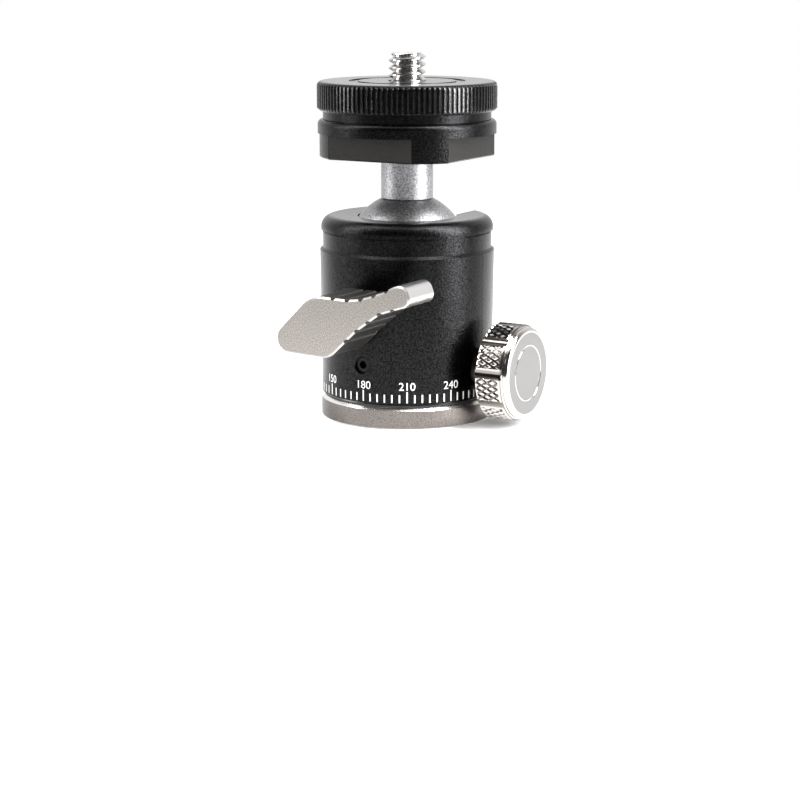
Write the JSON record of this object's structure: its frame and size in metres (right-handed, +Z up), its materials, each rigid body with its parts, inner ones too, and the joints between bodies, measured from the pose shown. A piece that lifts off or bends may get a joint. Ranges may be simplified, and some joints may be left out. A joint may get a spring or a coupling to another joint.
{
  "type": "tripod ball head",
  "caption": "Miniature tripod ball head: panning base with a degree scale, lever-locked ball with a drop notch, knurled pan knob, camera stud with a knurled lock disc.",
  "frame": {"origin": "centre of the base's bottom face, on the pan axis, at the mouth of the tripod thread", "axes": "+Z up along the pan axis; -Y towards the lock lever, +X towards the pan knob, +Y towards the drop notch"},
  "size_m": [0.0389, 0.0423, 0.062],
  "materials": {
    "champagne_base": "bead-blasted champagne silver anodised",
    "zinc_steel": "zinc plated",
    "black_anodised": "fine-blasted black anodised, satin",
    "plain_aluminium": "turned",
    "black_steel": "black oxide",
    "black_polymer": "moulded",
    "white_polymer": "moulded acetal",
    "brass": "turned",
    "satin_silver": "fine-blasted silver with polished edges",
    "bright_nickel": "knurled, nickel plated",
    "satin_nickel": "satin face with a polished edge",
    "blasted_silver": "bead-blasted silver anodised",
    "stud_steel": "nickel plated thread"
  },
  "bodies": {
    "base": {"pan_base": "champagne_base", "base_thread_bush": "zinc_steel", "pan_retaining_washer": "zinc_steel", "pan_retaining_screw": "zinc_steel"},
    "head_body": {"housing": "black_anodised", "housing_floor": "plain_aluminium", "floor_grub_screw": "black_steel", "pan_bearing_washer": "black_polymer", "pan_top_washer": "white_polymer", "ball_seat_ring": "white_polymer", "cup_spring": "zinc_steel", "lever_washer": "white_polymer"},
    "cup": {"ball_cup": "brass"},
    "lever": {"lock_lever": "satin_silver", "lock_screw": "zinc_steel"},
    "knob": {"pan_knob": "bright_nickel", "pan_knob_cap": "satin_nickel", "pan_screw": "zinc_steel"},
    "brake": {"pan_brake_tip": "white_polymer"},
    "ball_body": {"ball": "blasted_silver"},
    "camera_platform": {"stem": "blasted_silver", "platform": "black_anodised", "camera_stud": "stud_steel"},
    "disc": {"lock_disc": "black_anodised"}
  },
  "joints": [
    {"name": "pan_turn", "type": "hinge", "parent": "base", "child": "head_body", "pos_m": [0, 0, 0.00406], "axis": [0, 0, 1], "continuous": true},
    {"name": "lock_lever_turn", "type": "hinge", "parent": "head_body", "child": "lever", "pos_m": [0, -0.0167, 0.0194], "axis": [0, -1, 0], "range_deg": [0, 90]},
    {"name": "cup_lift", "type": "slide", "parent": "head_body", "child": "cup", "axis": [0, 0, 1], "range_m": [-0.00025, 0], "deforming": ["cup_spring"]},
    {"name": "pan_knob_turn", "type": "hinge", "parent": "head_body", "child": "knob", "pos_m": [0.0174, 0, 0.00915], "axis": [1, 0, 0], "range_deg": [0, 180]},
    {"name": "pan_brake_slide", "type": "slide", "parent": "head_body", "child": "brake", "axis": [1, 0, 0], "range_m": [0, 0.00041]},
    {"name": "ball_tilt", "type": "hinge", "parent": "head_body", "child": "ball_body", "pos_m": [0, 0, 0.02795], "axis": [-1, 0, 0], "range_deg": [-25, 90]},
    {"name": "platform_spin", "type": "hinge", "parent": "ball_body", "child": "camera_platform", "pos_m": [0, 0, 0.02795], "axis": [0, 0, 1], "continuous": true},
    {"name": "lock_disc_turn", "type": "hinge", "parent": "camera_platform", "child": "disc", "pos_m": [0, 0, 0.05103], "axis": [0, 0, 1], "continuous": true}
  ],
  "couplings": [
    {"joint": "lock_lever_turn", "follows": "cup_lift", "rad_per_m": -6283.2},
    {"joint": "pan_brake_slide", "follows": "pan_knob_turn", "m_per_rad": 0.00012732}
  ]
}
